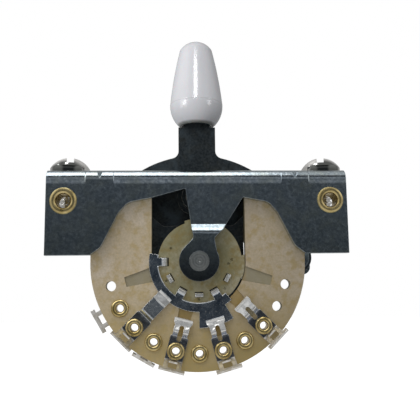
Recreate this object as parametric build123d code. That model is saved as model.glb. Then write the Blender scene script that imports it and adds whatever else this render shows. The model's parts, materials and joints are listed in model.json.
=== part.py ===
from build123d import *
import os
from math import cos, degrees, hypot, radians, sin, sqrt

# Lever switch for picking guitar pickups: a bent steel bracket carries a fibre wafer with
# contact lugs, a rotor with contact rings, and a lever that clicks into five places.
# Millimetres. The origin is the middle of the mounting flange's top face, +Z is up out of
# the panel, X runs along the flange and the side with the front plate faces -Y.

# How near a corner lies to the line that it is looked for on
match = 0.001

# Bracket sheet
sheet = 1.2
bend_outside = 1.7
bend_inside = bend_outside - sheet
plate_width = 46.6
front_face = -5.2
flange_rear = 5.0
wing_bottom = -13.3
screw_spacing = 41.275
lever_slot_length = 26.4
lever_slot_width = 3.2

# Opening in the front plate, right side mirrored from the left one
wing_foot_x = 16.5
wing_heel_x = 14.9
wing_heel_z = -12.1
wing_knee_x = 12.3
wing_knee_z = -6.9
wing_shoulder_x = 10.9
wing_shoulder_z = -5.25
wing_shelf_x = 7.2
wing_shelf_z = -4.55
wing_fillet = 2.2
window_corner_x = -2.26
window_corner_z = -3.17
dent_x = 15.2
dent_width = 0.5

# Tongue that carries the pivot
tongue_left_top = -2.15
tongue_left_foot = -1.1
tongue_right_top = 6.9
tongue_right_foot = 3.7
neck_left = -0.8
neck_right = 2.3
neck_z = -10.9
jog_top = -9.0
jog_bottom = -9.95
jog_depth = 1.0
jog_round = 0.8
jog_overlap = 0.4
neck_round = 0.9
tongue_root_x = -2.0
tongue_root_rise = 2.3
tongue_side_x = 2.7
tongue_side_rise = 1.45
disc_radius = 3.05

# Pivot
pivot_z = -14.4
stud_radius = 1.5
stud_head = 0.05
stud_tail = 0.5
punch_radius = 0.32
punch_tip = 0.01
punch_depth = 0.3
running_fit = 0.04
clip_radius = 2.9
clip_thickness = 0.6
clip_groove = 0.35
clip_play = 0.03
clip_pad_width = 1.0
clip_pad_length = 0.9
clip_mouth_depth = 2.1

# Wafer
wafer_thickness = 1.6
wafer_rim = 2.68
wafer_top = -2.2
wafer_ear_x = 22.5
wafer_ear_bottom = -9.2
wafer_ear_fillet = 2.0
wafer_bore = 7.25
plain_hole_radius = 0.77
plain_hole_angles = (-75, 60, 75)
pocket_width = 2.3
pocket_end_width = 1.5
pocket_stop = 2.27
pocket_depth = 0.15
pocket_angles = (-75, 75)

# Eyelets
wing_eyelet_spacing = 41.25
wing_eyelet_z = -5.0
wing_eyelet_rim = 2.08
wing_eyelet_bore = 1.08
wing_eyelet_wall = 0.3
wing_eyelet_bead = 0.38
lug_eyelet_rim = 1.35
lug_eyelet_bore = 0.58
lug_eyelet_wall = 0.18
lug_eyelet_bead = 0.32
rolled_rim = 0.92
rivet_clearance = 0.02

# Contact lugs
lug_sheet = 0.3
lug_width = 2.75
lug_inside = 2.3
lug_outside = 1.65
finger_width = 2.3
finger_head_width = 2.85
finger_head_length = 1.1
finger_lift = 1.05
common_lift = 0.8
finger_ramp = 0.6
finger_crest = 0.25
finger_reach = 4.95
finger_tip_radius = 8.92
common_tip_radius = 7.07
finger_nose = 0.4
finger_nose_turn = 0.15
lug_join = 0.5
lug_bend = 0.22
finger_slot_width = 0.7
finger_slot_end = 1.05
finger_slot_outside = 1.45
solder_length = 3.0
solder_hinge = 0.3
front_solder_angles = (66, 66, 66, 66)
rear_solder_angles = (18, 42, 66, 66)
solder_bar = 0.62
solder_bar_width = 3.9
solder_window_width = 1.35
solder_window_start = 0.55
front_lug_angles = (-45, -15, 15, 45)
rear_lug_angles = (-60, -30, 0, 30)

# Rotor and contact rings
rotor_gap = 0.3
rotor_low_gap = 0.95
rotor_high_gap = 0.57
rotor_lobe_gap = 0.1
rotor_seam_radius = 5.0
rotor_steps = (-100, 69, 98, 199)
ring_sheet = 0.3
ring_gap = 0.03
ring_land = 1.2
ring_outside = 7.65
lobe_radius = 9.35
horn_radius = 10.05
horn_width = 1.3
tab_width = 1.25
tab_slot_outside = 5.05
tab_slot_inside = 4.65
tab_proud = 0.3
ring_join = 0.2
ring_bend = 0.25
front_tab_bend = 0.55
tab_seat_reach = 0.5
tab_seat_depth = 0.4
clinch_start = 0.2
clinch_length = 0.5
clinch_rise = 0.29
front_tab_angles = (-90, -30, 28)
rear_tab_angles = (-60, 0, 60)
front_ring_span = (-100, 40)
rear_ring_span = (-97, 68)
front_lobe_span = (0, 31)
rear_lobe_span = (-15, 16)
dimple_radius = 0.2
dimples = ((5.75, -60), (5.75, 0), (5.75, 44), (4.75, -116), (4.6, 86), (5.1, 93))

# Drive bushing
bushing_radius = 2.6
bushing_flats = 4.0
bushing_shoulder = 3.4
bushing_shoulder_width = 0.5
bushing_stake = 2.3
bushing_end_play = 0.1

# Lever
lever_sheet = 1.6
lever_dome = 17.5
lever_stem_width = 6.05
lever_shoulder = 7.85
lever_fillet = 1.25
tang_width = 4.3
tang_top = 17.6
fan_angle = 48
fan_inset = 0.6
fan_web = 1.5
fan_corner = 0.8
hub_radius = 7.4
hub_shoulder = 7.3
window_floor = 5.9
stop_step = 15
stop_count = 5
tang_chamfer = 0.5
stem_depth = 2.0

# Tip
tip_bottom = 8.15
tip_top = 22.8
tip_belly_z = 11.7
tip_belly = 4.38
tip_neck_z = 21.3
tip_neck = 2.72
tip_mouth = 2.75
tip_mouth_depth = 1.0
tip_lip = 0.3
tip_fit = 0.05
tip_cone_swell = 0.85
tip_bowl_swell = 0.885
tip_bowl_drop = 0.35

# Index arm, roller and spring
arm_pivot_x = 16.3
arm_pivot_z = -13.6
arm_sheet = 1.2
arm_front = 1.4
arm_boss = 2.6
arm_top = -1.45
arm_left = -17.9
arm_left_depth = 5.2
arm_low_left_x = -9.0
arm_low_z = -10.0
arm_clear_angle = 2.5
arm_tail_round = 1.4
arm_shoulder_x = 7.5
arm_heel_x = 7.0
arm_nose_x = 2.3
arm_nose_rise = 1.2
arm_chin_x = 1.4
arm_chin_drop = 2.2
arm_jog_round = 0.9
arm_jog_start = -11.8
arm_jog_end = -13.9
track_radius = 11.4
roller_radius = 2.1
roller_rim = 2.8
roller_rim_width = 0.4
roller_bore = 0.85
roller_play = 0.05
pin_head = 1.45
pin_head_width = 0.35
pin_rivet = 0.35
pin_rivet_width = 0.25
arm_stud_radius = 1.25
arm_stud_head = 2.1
arm_stud_head_width = 0.35
arm_stud_rivet = 0.5
arm_stud_chamfer = 0.2
leg_left = 13.0
leg_top_right = 18.2
leg_bottom_right = 19.25
leg_bottom = -16.4
leg_corner = 1.3
spring_radius = 1.5
spring_wire = 0.55
spring_pitch = 0.95
spring_z = -4.5
spring_hole = 0.62
hook_knuckle = 0.33
hook_lead = 1.2
hook_hole_left = -16.3
hook_hole_right = 15.0

# Mounting screws
screw_radius = 1.7526
screw_length = 11.1
screw_head_radius = 3.15
screw_head_rim = 0.95
screw_head_height = 2.75
screw_dome_radius = 2.24
screw_dome_z = 2.15
screw_point = 0.5
screw_slot_width = 1.15
screw_slot_depth = 1.0

# Sizes and places worked out from the sizes above
hole_circle = finger_tip_radius + finger_reach
common_reach = hole_circle - common_tip_radius
finger_slot_inside = finger_reach - finger_slot_end
pocket_reach = hole_circle - pocket_stop
wafer_radius = hole_circle + wafer_rim
ring_inside = tab_slot_outside + ring_land
rotor_radius = wafer_bore - rotor_gap
rotor_low_radius = wafer_bore - rotor_low_gap
rotor_high_radius = wafer_bore - rotor_high_gap
rotor_lobe_radius = wafer_bore - rotor_lobe_gap
plate_rear = front_face + sheet
wafer_front = plate_rear
wafer_rear = wafer_front + wafer_thickness
disc_front = front_face - jog_depth
disc_rear = disc_front + sheet
lever_front = -lever_sheet / 2
lever_rear = lever_sheet / 2
arm_rear = arm_front + arm_sheet
leg_front = flange_rear - sheet
spring_y = leg_front + sheet / 2
notch_radius = roller_radius + roller_play
half_width = plate_width / 2
dent_sink = bend_outside * (1 - cos(radians(45)))


def plate(face, front, rear):
    """A flat piece that faces -Y, from its outline in X and Z."""
    return extrude(Plane.XZ.offset(-rear) * face, rear - front)


def outline(*points):
    return make_face(Polyline(*points, close=True))


def polar(radius, angle, centre_z=pivot_z):
    """A point at a radius and angle about the pivot, angles from straight down towards +X."""
    return (radius * sin(radians(angle)), centre_z - radius * cos(radians(angle)))


def round_y(radius, front, rear, x=0.0, z=pivot_z):
    return plate(Pos(x, z) * Circle(radius), front, rear)


def sector(inside, outside, start, end):
    """A ring segment about the pivot, in X and Z."""
    middle = (start + end) / 2
    outer = ThreePointArc(polar(outside, start), polar(outside, middle), polar(outside, end))
    inner = ThreePointArc(polar(inside, end), polar(inside, middle), polar(inside, start))
    side = Line(outer @ 1, inner @ 0)
    other = Line(inner @ 1, outer @ 0)
    return make_face([outer, side, inner, other])


def make_bracket():
    section = outline(
        (front_face, 0), (flange_rear, 0), (flange_rear, -sheet),
        (plate_rear, -sheet), (plate_rear, wing_bottom), (front_face, wing_bottom),
    )
    corner = section.vertices().sort_by(lambda v: hypot(v.X - front_face, v.Y))[0]
    section = fillet(corner, bend_outside)
    corner = section.vertices().sort_by(lambda v: hypot(v.X - plate_rear, v.Y + sheet))[0]
    section = fillet(corner, bend_inside)
    angle = extrude(Plane.YZ.offset(-half_width) * section, plate_width)

    wing = [
        (0, wing_bottom - sheet), (-wing_foot_x, wing_bottom - sheet),
        (-wing_foot_x, wing_bottom), (-wing_heel_x, wing_heel_z), (-wing_knee_x, wing_knee_z),
        (-wing_shoulder_x, wing_shoulder_z), (-wing_shelf_x, wing_shelf_z),
    ]
    left = outline(*wing, (window_corner_x, window_corner_z), (0, window_corner_z))
    mirrored = [(-x, z) for x, z in wing]
    right = outline(*mirrored, (tongue_right_top, wing_shelf_z), (0, wing_shelf_z))
    opening = round_wing(left) + round_wing(right)
    angle -= plate(opening, front_face - sheet, plate_rear)

    slot = Pos(0, 0, -sheet / 2) * extrude(
        SlotOverall(lever_slot_length, lever_slot_width), sheet, both=True
    )
    angle -= slot
    for side in (-1, 1):
        hole = Pos(side * screw_spacing / 2, 0, -sheet / 2) * Cylinder(
            screw_radius + running_fit, 4 * sheet
        )
        angle -= hole
        dent = Rot(-45, 0, 0) * Rot(0, 0, 45) * Box(dent_width, dent_width, 2 * bend_outside)
        dent = Pos(side * dent_x, front_face + dent_sink, -dent_sink) * dent
        angle -= dent
        eyelet_hole = round_y(
            wing_eyelet_bore + wing_eyelet_wall + rivet_clearance,
            front_face - sheet, plate_rear + sheet,
            side * wing_eyelet_spacing / 2, wing_eyelet_z,
        )
        angle -= eyelet_hole
    return angle + make_tongue() + make_leg() - leg_holes()


def round_wing(face):
    """Rounds the three bends of a wing's edge, one after another."""
    for bend in (wing_heel_x, wing_knee_x, wing_shoulder_x):
        face = fillet(
            face.vertices().filter_by(lambda v: abs(abs(v.X) - bend) < match), wing_fillet
        )
    return face


def make_tongue():
    middle = front_face + sheet / 2
    low = disc_front + sheet / 2
    bottom = pivot_z - disc_radius - sheet
    path = FilletPolyline(
        (middle, window_corner_z + sheet), (middle, jog_top), (low, jog_bottom), (low, bottom),
        radius=jog_round,
    )
    strip = extrude(Plane.YZ.offset(-half_width) * trace(path, line_width=sheet), plate_width)
    blade = outline(
        (tongue_left_top, window_corner_z + sheet), (tongue_left_foot, jog_top - jog_overlap),
        (neck_left, neck_z), (tongue_root_x, pivot_z + tongue_root_rise),
        (tongue_side_x, pivot_z + tongue_side_rise),
        (neck_right, neck_z), (tongue_right_foot, jog_bottom + jog_overlap),
        (tongue_right_top, wing_shelf_z), (tongue_right_top, window_corner_z + sheet),
    )
    blade = fillet(
        blade.vertices().filter_by(lambda v: abs(v.Y - neck_z) < match), neck_round
    )
    face = blade + Pos(0, pivot_z) * Circle(disc_radius)
    tongue = strip & plate(face, disc_front - sheet, plate_rear + sheet)
    return tongue - round_y(stud_radius + rivet_clearance, disc_front - sheet, plate_rear)


def make_leg():
    middle = flange_rear - sheet / 2
    path = FilletPolyline(
        (flange_rear - 3 * sheet, -sheet / 2), (middle, -sheet / 2), (middle, leg_bottom - sheet),
        radius=bend_outside - sheet / 2,
    )
    strip = extrude(Plane.YZ * trace(path, line_width=sheet), half_width)
    face = outline(
        (leg_left, 0), (leg_left, leg_bottom), (leg_bottom_right, leg_bottom),
        (leg_top_right, 0),
    )
    face = fillet(face.vertices().filter_by(lambda v: abs(v.Y - leg_bottom) < match), leg_corner)
    return strip & plate(face, flange_rear - 3 * sheet, flange_rear + sheet)


def leg_holes():
    pivot_hole = round_y(
        arm_stud_radius + rivet_clearance, arm_rear, flange_rear + sheet, arm_pivot_x, arm_pivot_z
    )
    swing = radians(arm_clear_angle) * (spring_z - arm_pivot_z)
    hook_slot = Pos(hook_hole_right - swing / 2, spring_z) * SlotCenterToCenter(
        swing, 2 * spring_hole
    )
    return pivot_hole + plate(hook_slot, arm_rear, flange_rear + sheet)


def eyelet(front, rear, rim, bore, wall, bead):
    """A rolled eyelet on the Y axis, from one seat to the other, with a bead on each."""
    shank = bore + wall
    rear_rim = rim * rolled_rim
    front_roll = ThreePointArc((rim, front), ((rim + bore) / 2, front - bead), (bore, front))
    rear_roll = ThreePointArc(
        (bore, rear), ((rear_rim + bore) / 2, rear + bead), (rear_rim, rear)
    )
    barrel = Line((bore, front), (bore, rear))
    seat = Polyline((rear_rim, rear), (shank, rear), (shank, front), (rim, front))
    half = make_face([front_roll, barrel, rear_roll, seat])
    return revolve(Plane.XY * half, Axis.Y)


def make_wing_eyelet(side):
    body = eyelet(
        front_face, wafer_rear, wing_eyelet_rim, wing_eyelet_bore, wing_eyelet_wall,
        wing_eyelet_bead,
    )
    return Pos(side * wing_eyelet_spacing / 2, 0, wing_eyelet_z) * body


def make_lug_eyelet(angle):
    front = wafer_front - (lug_sheet if angle in front_lug_angles else 0)
    rear = wafer_rear + (lug_sheet if angle in rear_lug_angles else 0)
    body = eyelet(
        front, rear, lug_eyelet_rim, lug_eyelet_bore, lug_eyelet_wall, lug_eyelet_bead
    )
    x, z = polar(hole_circle, angle)
    return Pos(x, 0, z) * body


def make_wafer():
    low = Pos(0, pivot_z) * Circle(wafer_radius)
    low -= Pos(0, pivot_z + wafer_radius) * Rectangle(2 * wafer_radius, 2 * wafer_radius)
    shoulders = outline(
        (-wafer_radius, pivot_z), (-wafer_radius, wafer_ear_bottom),
        (-wafer_ear_x, wafer_ear_bottom), (-wafer_ear_x, wafer_top),
        (wafer_ear_x, wafer_top), (wafer_ear_x, wafer_ear_bottom),
        (wafer_radius, wafer_ear_bottom), (wafer_radius, pivot_z),
    )
    shoulders = fillet(
        shoulders.vertices().filter_by(
            lambda v: abs(v.Y - wafer_ear_bottom) < match and abs(v.X) < wafer_radius + match
        ), wafer_ear_fillet
    )
    face = low + shoulders
    face -= Pos(0, pivot_z) * Circle(wafer_bore)
    notch_height = wafer_top - pivot_z + sheet
    face -= Pos(0, pivot_z + notch_height / 2) * Rectangle(2 * wafer_bore, notch_height)
    for angle in plain_hole_angles:
        face -= Pos(*polar(hole_circle, angle)) * Circle(plain_hole_radius)
    barrel = lug_eyelet_bore + lug_eyelet_wall + rivet_clearance
    for angle in front_lug_angles + rear_lug_angles:
        face -= Pos(*polar(hole_circle, angle)) * Circle(barrel)
    for side in (-1, 1):
        shank = wing_eyelet_bore + wing_eyelet_wall + rivet_clearance
        face -= Pos(side * wing_eyelet_spacing / 2, wing_eyelet_z) * Circle(shank)
    wafer = plate(face, wafer_front, wafer_rear)
    for angle in pocket_angles + front_lug_angles[1:]:
        wafer -= pocket(angle, wafer_front, wafer_front + pocket_depth)
    for angle in rear_lug_angles[1:]:
        wafer -= pocket(angle, wafer_rear - pocket_depth, wafer_rear)
    return wafer


def pocket(angle, front, rear):
    """A shallow tapered trough in the wafer under a contact finger."""
    near = pocket_width / 2
    far = pocket_end_width / 2
    face = outline(
        (-near, -rotor_radius), (near, -rotor_radius), (far, -pocket_reach), (-far, -pocket_reach)
    )
    return plate(Pos(0, pivot_z) * Rot(0, 0, angle) * face, front, rear)


def lug_frame(angle, front):
    """A lug's own frame: X outward along the wafer, Z away from the wafer's face."""
    x, z = polar(hole_circle, angle)
    way = (sin(radians(angle)), 0, -cos(radians(angle)))
    if front:
        return Plane(origin=(x, wafer_front, z), x_dir=way, z_dir=(0, -1, 0))
    return Plane(origin=(x, wafer_rear, z), x_dir=way, z_dir=(0, 1, 0))


def make_lug(common, solder_angle):
    """A stamped contact clip: flat at its eyelet, arched inward, its nose down on the ring."""
    reach = common_reach if common else finger_reach
    head_width = finger_width if common else finger_head_width
    half = lug_sheet / 2
    top = half + (common_lift if common else finger_lift)
    nose = half + ring_sheet + 3 * ring_gap
    crest = lug_inside + finger_ramp
    path = FilletPolyline(
        (lug_outside, half), (-lug_inside, half), (-crest, top), (-crest - finger_crest, top),
        (-reach + finger_nose, nose), (-reach, nose + finger_nose_turn),
        radius=lug_bend,
    )
    strip = Pos(0, finger_head_width / 2, 0) * extrude(
        Plane.XZ * trace(path, line_width=lug_sheet), finger_head_width
    )
    base = Pos((lug_outside - lug_inside) / 2, 0) * Rectangle(
        lug_inside + lug_outside, lug_width
    )
    base = chamfer(base.vertices().group_by(Axis.X)[0], (lug_width - finger_width) / 2)
    base += make_finger(reach, finger_width / 2, head_width / 2)
    base -= Circle(lug_eyelet_bore + lug_eyelet_wall + rivet_clearance)
    if not common:
        slot_length = finger_slot_inside - finger_slot_outside
        middle = -(finger_slot_inside + finger_slot_outside) / 2
        base -= Pos(middle, 0) * SlotOverall(slot_length, finger_slot_width)
    lug = strip & extrude(base, 2 * finger_lift + lug_sheet)
    return lug + make_solder_end(solder_angle)


def make_finger(reach, neck, head):
    """A finger's outline, from half its width at the neck to half its width at the head."""
    root = -lug_inside + lug_join
    shoulder = -reach + finger_head_length
    flare = shoulder - (head - neck)
    end = -reach - lug_sheet
    return outline(
        (root, neck), (shoulder, neck), (flare - lug_sheet, head), (end, head),
        (end, -head), (flare - lug_sheet, -head), (shoulder, -neck), (root, -neck),
    )


def make_solder_end(solder_angle):
    """The part of a clip that the wire is soldered to: bent up, windowed, with a cross bar."""
    flat = Pos(solder_length / 2, 0) * Rectangle(solder_length, lug_width)
    flat += Pos(solder_length - solder_bar / 2, 0) * Rectangle(solder_bar, solder_bar_width)
    window_length = solder_length - solder_bar - solder_window_start
    flat -= Pos(solder_window_start + window_length / 2, 0) * Rectangle(
        window_length, solder_window_width
    )
    blade = extrude(flat, lug_sheet)
    hinge = Pos(lug_outside - lug_sheet * solder_hinge, 0, 0) * Rot(0, -solder_angle, 0)
    return hinge * blade


def ring_face(span, lobe_span):
    face = sector(ring_inside, ring_outside, *span)
    face += sector(ring_outside - ring_join, lobe_radius, *lobe_span)
    horn = degrees(horn_width / lobe_radius)
    face += sector(lobe_radius - ring_join, horn_radius, lobe_span[0], lobe_span[0] + horn)
    face += sector(lobe_radius - ring_join, horn_radius, lobe_span[1] - horn, lobe_span[1])
    return face


def ring_tab(angle, bend, *points):
    """A bent tab, from the points of its middle line: distance from the pivot, then Y."""
    way = (sin(radians(angle)), 0, -cos(radians(angle)))
    side = (cos(radians(angle)), 0, sin(radians(angle)))
    section = Plane(origin=(0, 0, pivot_z), x_dir=way, z_dir=side)
    path = FilletPolyline(*points, radius=bend)
    return extrude(section * trace(path, line_width=ring_sheet), tab_width / 2, both=True)


def make_front_ring():
    near = wafer_front - ring_gap
    sheet_middle = near - ring_sheet / 2
    leg_middle = tab_slot_outside - ring_sheet / 2
    ring = plate(ring_face(front_ring_span, front_lobe_span), near - ring_sheet, near)
    for angle in front_tab_angles:
        ring += ring_tab(
            angle, front_tab_bend, (ring_inside + ring_join, sheet_middle),
            (leg_middle, sheet_middle), (leg_middle, wafer_rear + tab_proud),
        )
    return ring


def make_rear_ring():
    near = wafer_rear + ring_gap
    sheet_middle = near + ring_sheet / 2
    leg_middle = tab_slot_outside - ring_sheet / 2
    ring = plate(ring_face(rear_ring_span, rear_lobe_span), near, near + ring_sheet)
    clinch_y = wafer_front - clinch_start
    for angle in rear_tab_angles:
        ring += ring_tab(
            angle, ring_bend, (ring_inside + ring_join, sheet_middle),
            (leg_middle, sheet_middle), (leg_middle, clinch_y),
            (leg_middle + clinch_length, clinch_y - clinch_rise),
        )
    return ring


def double_d(radius, flats):
    return Circle(radius) & Rectangle(flats, 2 * radius)


def make_rotor():
    face = Pos(0, pivot_z) * Circle(rotor_low_radius)
    radii = (rotor_radius, rotor_lobe_radius, rotor_high_radius)
    for radius, start, end in zip(radii, rotor_steps, rotor_steps[1:]):
        face += sector(rotor_seam_radius, radius, start, end)
    face -= Pos(0, pivot_z) * double_d(
        bushing_radius + running_fit, bushing_flats + 2 * running_fit
    )
    slot_depth = tab_slot_outside - tab_slot_inside + 2 * running_fit
    for angle in front_tab_angles + rear_tab_angles:
        middle = polar((tab_slot_outside + tab_slot_inside) / 2, angle)
        face -= Pos(*middle) * Rot(0, 0, angle) * Rectangle(
            tab_width + 2 * running_fit, slot_depth
        )
    rotor = plate(face, wafer_front, wafer_rear)
    for angle in front_tab_angles:
        middle = polar(tab_slot_outside + tab_seat_reach / 2, angle)
        seat = Pos(*middle) * Rot(0, 0, angle) * Rectangle(
            tab_width + 2 * running_fit, tab_seat_reach + 2 * running_fit
        )
        rotor -= plate(seat, wafer_front, wafer_front + tab_seat_depth)
    for radius, angle in dimples:
        x, z = polar(radius, angle)
        rotor -= round_y(dimple_radius, wafer_front, wafer_front + dimple_radius, x, z)
    return rotor


def make_bushing():
    nose_front = disc_rear + bushing_end_play
    shoulder_front = lever_front - bushing_shoulder_width
    flats = Pos(0, pivot_z) * double_d(bushing_radius, bushing_flats)
    nose = plate(flats, nose_front, shoulder_front)
    shoulder = round_y(bushing_shoulder, shoulder_front, lever_front)
    stake = round_y(bushing_stake, lever_front, lever_rear)
    return nose + shoulder + stake - round_y(stud_radius + running_fit, nose_front, lever_rear)


def make_pivot_stud():
    end = lever_rear + running_fit + clip_thickness + stud_tail
    stud = round_y(stud_radius, disc_front - stud_head, end)
    punch = Pos(0, disc_front - stud_head, pivot_z) * Rot(90, 0, 0) * Cone(
        punch_tip, punch_radius, punch_depth
    )
    stud -= punch
    groove_front = lever_rear + running_fit
    groove = round_y(2 * stud_radius, groove_front, groove_front + clip_thickness)
    groove -= round_y(stud_radius - clip_groove, groove_front, groove_front + clip_thickness)
    return stud - groove


def make_clip():
    """A split retaining clip: open at the bottom, gripping the stud's groove with three pads."""
    front = lever_rear + running_fit + clip_play
    rear = front + clip_thickness - 2 * clip_play
    face = Circle(clip_radius) - Circle(stud_radius + clip_groove)
    for angle in (0, 120, 240):
        pad = Rot(0, 0, angle) * Pos(0, stud_radius + clip_groove / 2) * Rectangle(
            clip_pad_width, clip_pad_length
        )
        face += pad - Circle(stud_radius - clip_groove + running_fit)
    face -= Pos(0, -clip_radius) * Rectangle(
        2 * (stud_radius - clip_groove), 2 * clip_mouth_depth
    )
    return plate(Pos(0, pivot_z) * face, front, rear)


def fan(offset, reach):
    """The wedge between two lines at the fan's angle, each an offset in from the pivot."""
    apex = offset / sin(radians(fan_angle))
    side = sin(radians(fan_angle)) * reach
    rise = cos(radians(fan_angle)) * reach
    return outline((0, apex), (side, apex + rise), (-side, apex + rise))


def make_lever():
    reach = 3 * lever_dome
    body = Circle(lever_dome) & fan(fan_inset - fan_web, reach)
    body = fillet(body.vertices().sort_by(Axis.X)[0], fan_corner)
    body = fillet(body.vertices().sort_by(Axis.X)[-1], fan_corner)
    hub = Circle(hub_radius)
    hub += outline(
        (-hub_radius, 0), (hub_radius, 0),
        (hub_shoulder, window_floor), (-hub_shoulder, window_floor),
    )
    body += hub
    window = (Circle(crest_radius()) & fan(fan_inset, reach)) - Pos(0, window_floor - reach / 2) * (
        Rectangle(reach, reach)
    )
    window = fillet(window.vertices().sort_by(Axis.Y)[:2], fan_corner)
    for step in range(stop_count):
        angle = 180 + (step - (stop_count - 1) / 2) * stop_step
        window += Pos(*polar(track_radius, angle, 0)) * Circle(notch_radius)
    body -= window
    shoulder = lever_shoulder - pivot_z
    stem_foot = lever_dome - stem_depth
    stem = Pos(0, (shoulder + stem_foot) / 2) * Rectangle(lever_stem_width, shoulder - stem_foot)
    tang = Pos(0, (tang_top - pivot_z + stem_foot) / 2) * Rectangle(
        tang_width, tang_top - pivot_z - stem_foot
    )
    stem_join = sqrt(lever_dome ** 2 - (lever_stem_width / 2) ** 2)
    body += stem
    corners = body.vertices().filter_by(
        lambda v: abs(abs(v.X) - lever_stem_width / 2) < 0.02 and abs(v.Y - stem_join) < 0.3
    )
    body = fillet(corners, lever_fillet)
    body += chamfer(tang.vertices().group_by(Axis.Y)[-1], tang_chamfer)
    body -= Circle(bushing_stake + rivet_clearance)
    return plate(Pos(0, pivot_z) * body, lever_front, lever_rear)


def crest_radius():
    """How far from the pivot the crests between the notches stand."""
    half_step = radians(stop_step / 2)
    rise = sqrt(notch_radius ** 2 - (track_radius * sin(half_step)) ** 2)
    return track_radius * cos(half_step) + rise


def make_tip():
    crown = TangentArc((0, tip_top), (tip_neck, tip_neck_z), tangent=(1, 0))
    cone_middle = (tip_belly * tip_cone_swell, (tip_neck_z + tip_belly_z) / 2)
    cone = ThreePointArc((tip_neck, tip_neck_z), cone_middle, (tip_belly, tip_belly_z))
    bowl_middle = (
        tip_belly * tip_bowl_swell, (tip_belly_z + tip_bottom) / 2 - tip_bowl_drop
    )
    bowl = ThreePointArc((tip_belly, tip_belly_z), bowl_middle, (tip_mouth, tip_bottom))
    core = Polyline((tip_mouth, tip_bottom), (0, tip_bottom), (0, tip_top))
    body = revolve(Plane.XZ * make_face([crown, cone, bowl, core]), Axis.Z)
    mouth = Pos(0, 0, tip_bottom + tip_mouth_depth / 2) * Cylinder(
        tip_mouth - tip_lip, tip_mouth_depth
    )
    blade_top = tang_top + tip_fit
    blade = Pos(0, 0, (tip_bottom + blade_top) / 2) * Box(
        tang_width + 2 * tip_fit, lever_sheet + 2 * tip_fit, blade_top - tip_bottom
    )
    return body - mouth - blade


def seated_to_rest(piece):
    """Swings the index arm's pieces down until the roller stands clear of the crests."""
    middle = Pos(arm_pivot_x, 0, arm_pivot_z)
    return middle * Rot(0, -arm_clear_angle, 0) * middle.inverse() * piece


def make_arm():
    face = outline(
        (arm_left, arm_top), (arm_shoulder_x, arm_top),
        (arm_pivot_x + arm_nose_x, arm_pivot_z + arm_nose_rise),
        (arm_pivot_x - arm_chin_x, arm_pivot_z - arm_chin_drop),
        (arm_heel_x, arm_low_z), (arm_low_left_x, arm_low_z),
        (arm_left, arm_top - arm_left_depth),
    )
    face = fillet(face.vertices().sort_by(Axis.X)[:2], arm_tail_round)
    face += Pos(arm_pivot_x, arm_pivot_z) * Circle(arm_boss)
    face -= Pos(arm_pivot_x, arm_pivot_z) * Circle(arm_stud_radius + running_fit)
    face -= Pos(0, pivot_z + track_radius) * Circle(roller_bore - roller_play + rivet_clearance)
    face -= Pos(hook_hole_left, spring_z) * Circle(spring_hole)
    middle = arm_front + arm_sheet / 2
    path = FilletPolyline(
        (half_width, middle), (arm_jog_start, middle), (arm_jog_end, spring_y),
        (-half_width, spring_y), radius=arm_jog_round,
    )
    strip = extrude(Plane.XY.offset(-half_width) * trace(path, line_width=arm_sheet), plate_width)
    return seated_to_rest(strip & plate(face, arm_front - sheet, flange_rear + sheet))


def roller_place(piece):
    return seated_to_rest(Pos(0, 0, pivot_z + track_radius) * piece)


def make_roller():
    tread = round_y(roller_radius, lever_front, lever_rear + roller_play, 0, 0)
    rim_front = lever_rear + roller_play
    rim = round_y(roller_rim, rim_front, rim_front + roller_rim_width, 0, 0)
    body = tread + rim
    return roller_place(body - round_y(roller_bore, lever_front, arm_front, 0, 0))


def make_roller_pin():
    shank_radius = roller_bore - roller_play
    head_rear = lever_front - roller_play
    pin = round_y(shank_radius, head_rear, arm_rear, 0, 0)
    pin += round_y(pin_head, head_rear - pin_head_width, head_rear, 0, 0)
    pin += round_y(shank_radius + pin_rivet, arm_rear, arm_rear + pin_rivet_width, 0, 0)
    return roller_place(pin)


def make_arm_stud():
    head_rear = arm_front - running_fit
    stud = round_y(arm_stud_radius, head_rear, flange_rear, arm_pivot_x, arm_pivot_z)
    stud += round_y(
        arm_stud_head, head_rear - arm_stud_head_width, head_rear, arm_pivot_x, arm_pivot_z
    )
    rivet = round_y(
        arm_stud_radius + arm_stud_rivet, flange_rear, flange_rear + arm_stud_rivet,
        arm_pivot_x, arm_pivot_z,
    )
    return stud + chamfer(rivet.edges().group_by(Axis.Y)[-1], arm_stud_chamfer)


def make_arm_spacer():
    ring = round_y(arm_stud_head, arm_rear + running_fit, leg_front, arm_pivot_x, arm_pivot_z)
    return ring - round_y(
        arm_stud_radius + rivet_clearance, arm_rear, leg_front, arm_pivot_x, arm_pivot_z
    )


def make_spring():
    """An extension spring along X, its end hooks level so that they pass through both plates."""
    coil_radius = spring_radius - spring_wire / 2
    sag = coil_radius - sqrt(coil_radius ** 2 - (arm_sheet / 2) ** 2)
    hook_shift = spring_hole - spring_wire / 2 - sag - running_fit
    reach = hook_hole_right - hook_hole_left - 2 * hook_shift
    turns = round((reach - 4 * spring_radius - 2 * hook_lead) / spring_pitch)
    length = turns * spring_pitch
    line = Helix(spring_pitch, length, coil_radius)
    start = Plane(origin=line @ 0, z_dir=line % 0)
    coil = sweep(start * Circle(spring_wire / 2), line, is_frenet=True)
    spring = Pos(-length / 2, 0, 0) * Rot(0, 90, 0) * Rot(0, 0, 90) * coil
    for side in (-1, 1):
        spring += Pos(side * length / 2, coil_radius, 0) * Sphere(hook_knuckle)
        spring += make_hook(side, length / 2, reach / 2, coil_radius)
    middle = (hook_hole_left + hook_hole_right) / 2
    return seated_to_rest(Pos(middle, spring_y, spring_z) * spring)


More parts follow.
